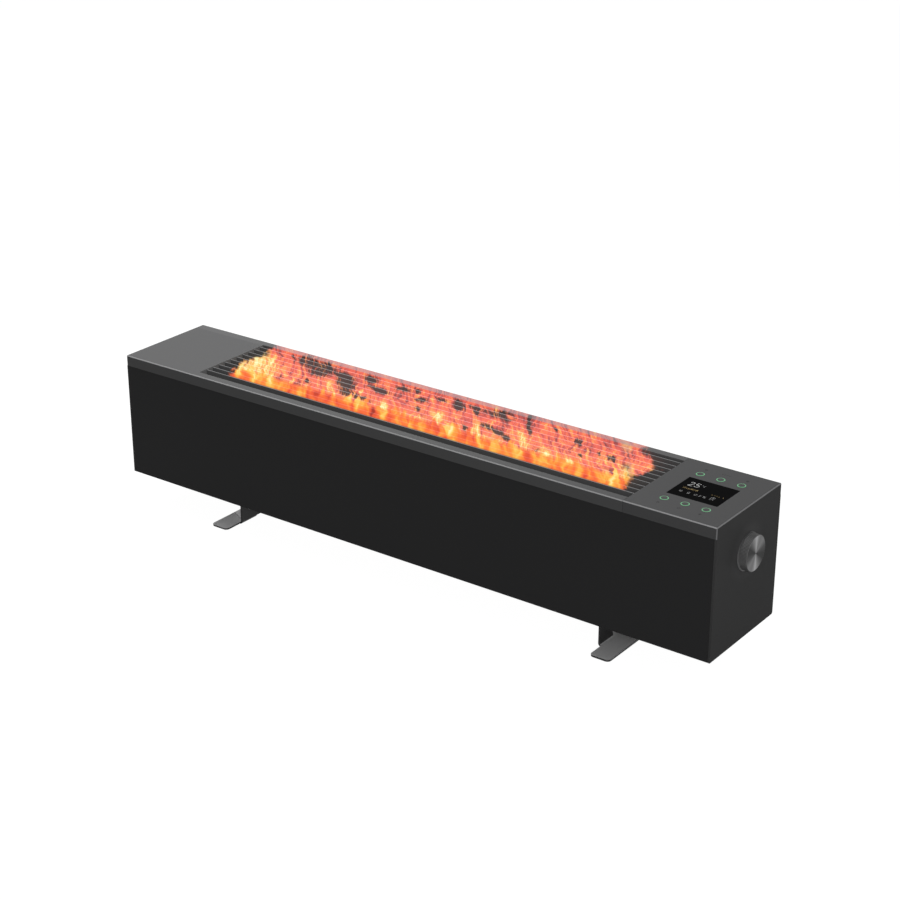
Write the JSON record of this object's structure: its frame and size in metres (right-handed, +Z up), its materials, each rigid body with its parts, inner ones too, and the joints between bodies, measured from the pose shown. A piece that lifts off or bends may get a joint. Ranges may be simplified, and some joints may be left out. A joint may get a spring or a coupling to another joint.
{
  "type": "electric space heater",
  "caption": "Long low electric convector on two strip feet, with a bladed top outlet over a lit flame chamber, a key and display field, and a rotary knob on one end.",
  "frame": {"origin": "on the floor, under the centre of the whole heater's box, knob included", "axes": "+X along the case to the end with the knob, -Y to the front, +Z up"},
  "size_m": [1.012, 0.1664, 0.2406],
  "materials": {
    "front_black": "fine satin black powder coat",
    "cap_grey": "satin dark grey powder coat",
    "cover_grey": "fine satin grey coat with bright-cut edges",
    "blade_grey": "satin dark grey",
    "zinc_sheet": "bright zinc-plated sheet",
    "bright_aluminium": "bare aluminium sheet",
    "screen_amber": "frosted amber heat-resistant glass",
    "ceramic_cream": "stands in for unglazed ceramic",
    "lamp_amber": "lit lamp lenses",
    "board_green": "circuit board",
    "vane_silver": "polished reflector",
    "bush_white": "natural acetal",
    "lens_black": "gloss black window",
    "part_black": "moulded black",
    "ring_green": "lit green light guide",
    "key_grey": "satin grey like the cover",
    "knob_dark": "dark anodised, fine grooves",
    "knob_spun": "spun metal face",
    "winding_gold": "wound transformer in yellow tape",
    "can_blue": "sleeved capacitor",
    "block_green": "moulded terminal block",
    "wire_red": "silicone insulation",
    "wire_yellow": "silicone insulation",
    "ribbon_grey": "flat ribbon cable",
    "foot_black": "satin dark grey coat",
    "pad_rubber": "black rubber"
  },
  "bodies": {
    "case": {"front_panel": "front_black", "rear_panel": "front_black", "bottom_plate": "front_black", "left_end_cap": "cap_grey", "right_end_cap": "cap_grey", "grille_frame": "cover_grey", "control_cover": "cover_grey", "outlet_grille": "blade_grey", "left_bulkhead": "zinc_sheet", "right_bulkhead": "zinc_sheet", "front_baffle": "bright_aluminium", "rear_baffle": "bright_aluminium", "flame_screen": "screen_amber", "heating_element": "bright_aluminium", "element_bushes": "ceramic_cream", "thermal_cutout": "zinc_sheet", "temperature_sensor": "part_black", "lamp_boards": "board_green", "flame_lamps": "lamp_amber", "rotor_bushes": "bush_white", "rotor_motor": "zinc_sheet", "display_lens": "lens_black", "display_module": "part_black", "key_board": "board_green", "key_board_posts": "zinc_sheet", "key_switches": "part_black", "light_rings": "ring_green", "knob_bezel": "knob_dark", "encoder_body": "zinc_sheet", "encoder_nut": "zinc_sheet", "power_board": "board_green", "board_standoffs": "zinc_sheet", "relays": "part_black", "transformer": "winding_gold", "filter_capacitors": "can_blue", "terminal_block": "block_green", "heat_sink": "bright_aluminium", "tip_switch": "part_black", "cable_gland": "part_black", "gland_nut": "part_black", "element_wires": "wire_red", "chamber_wires": "wire_yellow", "control_ribbon": "ribbon_grey", "left_foot": "foot_black", "right_foot": "foot_black", "foot_pads": "pad_rubber", "foot_screws": "zinc_sheet", "case_screws": "zinc_sheet", "board_screws": "zinc_sheet"},
    "knob": {"knob": "knob_dark", "knob_face": "knob_spun", "encoder_shaft": "zinc_sheet"},
    "flame_rotor": {"flame_rotor": "vane_silver"},
    "key_back_left": {"key_back_left": "key_grey"},
    "key_back_middle": {"key_back_middle": "key_grey"},
    "key_back_right": {"key_back_right": "key_grey"},
    "key_front_left": {"key_front_left": "key_grey"},
    "key_front_middle": {"key_front_middle": "key_grey"},
    "key_front_right": {"key_front_right": "key_grey"}
  },
  "joints": [
    {"name": "knob_turn", "type": "hinge", "parent": "case", "child": "knob", "pos_m": [0.494, 0, 0.1766], "axis": [1, 0, 0], "continuous": true},
    {"name": "rotor_spin", "type": "hinge", "parent": "case", "child": "flame_rotor", "pos_m": [-0.006, 0, 0.1703], "axis": [1, 0, 0], "continuous": true},
    {"name": "key_back_left_press", "type": "slide", "parent": "case", "child": "key_back_left", "axis": [0, 0, -1], "range_m": [0, 0.0006], "stiffness_N_per_m": 500, "springref_m": -0.001},
    {"name": "key_back_middle_press", "type": "slide", "parent": "case", "child": "key_back_middle", "axis": [0, 0, -1], "range_m": [0, 0.0006], "stiffness_N_per_m": 500, "springref_m": -0.001},
    {"name": "key_back_right_press", "type": "slide", "parent": "case", "child": "key_back_right", "axis": [0, 0, -1], "range_m": [0, 0.0006], "stiffness_N_per_m": 500, "springref_m": -0.001},
    {"name": "key_front_left_press", "type": "slide", "parent": "case", "child": "key_front_left", "axis": [0, 0, -1], "range_m": [0, 0.0006], "stiffness_N_per_m": 500, "springref_m": -0.001},
    {"name": "key_front_middle_press", "type": "slide", "parent": "case", "child": "key_front_middle", "axis": [0, 0, -1], "range_m": [0, 0.0006], "stiffness_N_per_m": 500, "springref_m": -0.001},
    {"name": "key_front_right_press", "type": "slide", "parent": "case", "child": "key_front_right", "axis": [0, 0, -1], "range_m": [0, 0.0006], "stiffness_N_per_m": 500, "springref_m": -0.001}
  ]
}
